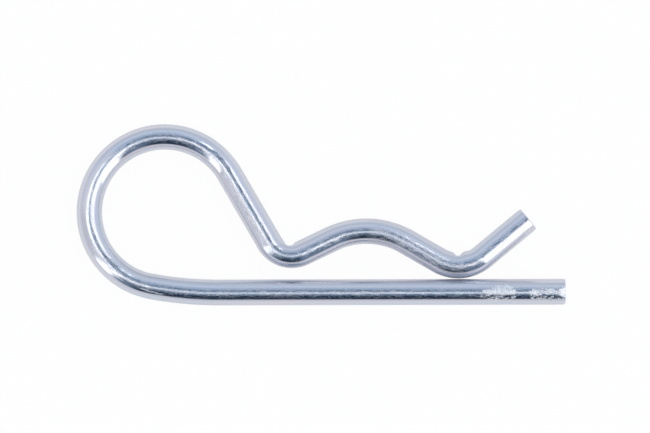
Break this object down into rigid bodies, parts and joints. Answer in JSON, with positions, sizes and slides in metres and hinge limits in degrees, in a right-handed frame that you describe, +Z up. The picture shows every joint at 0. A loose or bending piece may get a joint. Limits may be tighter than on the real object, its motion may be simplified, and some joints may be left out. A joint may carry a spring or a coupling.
{
  "type": "hitch r clip pin",
  "caption": "Spring R clip bent from round wire: a straight leg for a pin's cross hole, an open spring loop, and a waved arm whose hump snaps over the pin and whose tail stands clear.",
  "frame": {"origin": "middle of the clip's footprint, on the surface that it lies on", "axes": "+X along the straight leg to its free end, +Y from the leg to the sprung arm, +Z up, square to the plane that the wire is bent in"},
  "size_m": [0.0756, 0.028, 0.004],
  "materials": {
    "zinc_plated_spring_wire": "bright zinc plating over drawn spring wire"
  },
  "bodies": {
    "root": {"r_clip": "zinc_plated_spring_wire"}
  },
  "joints": []
}
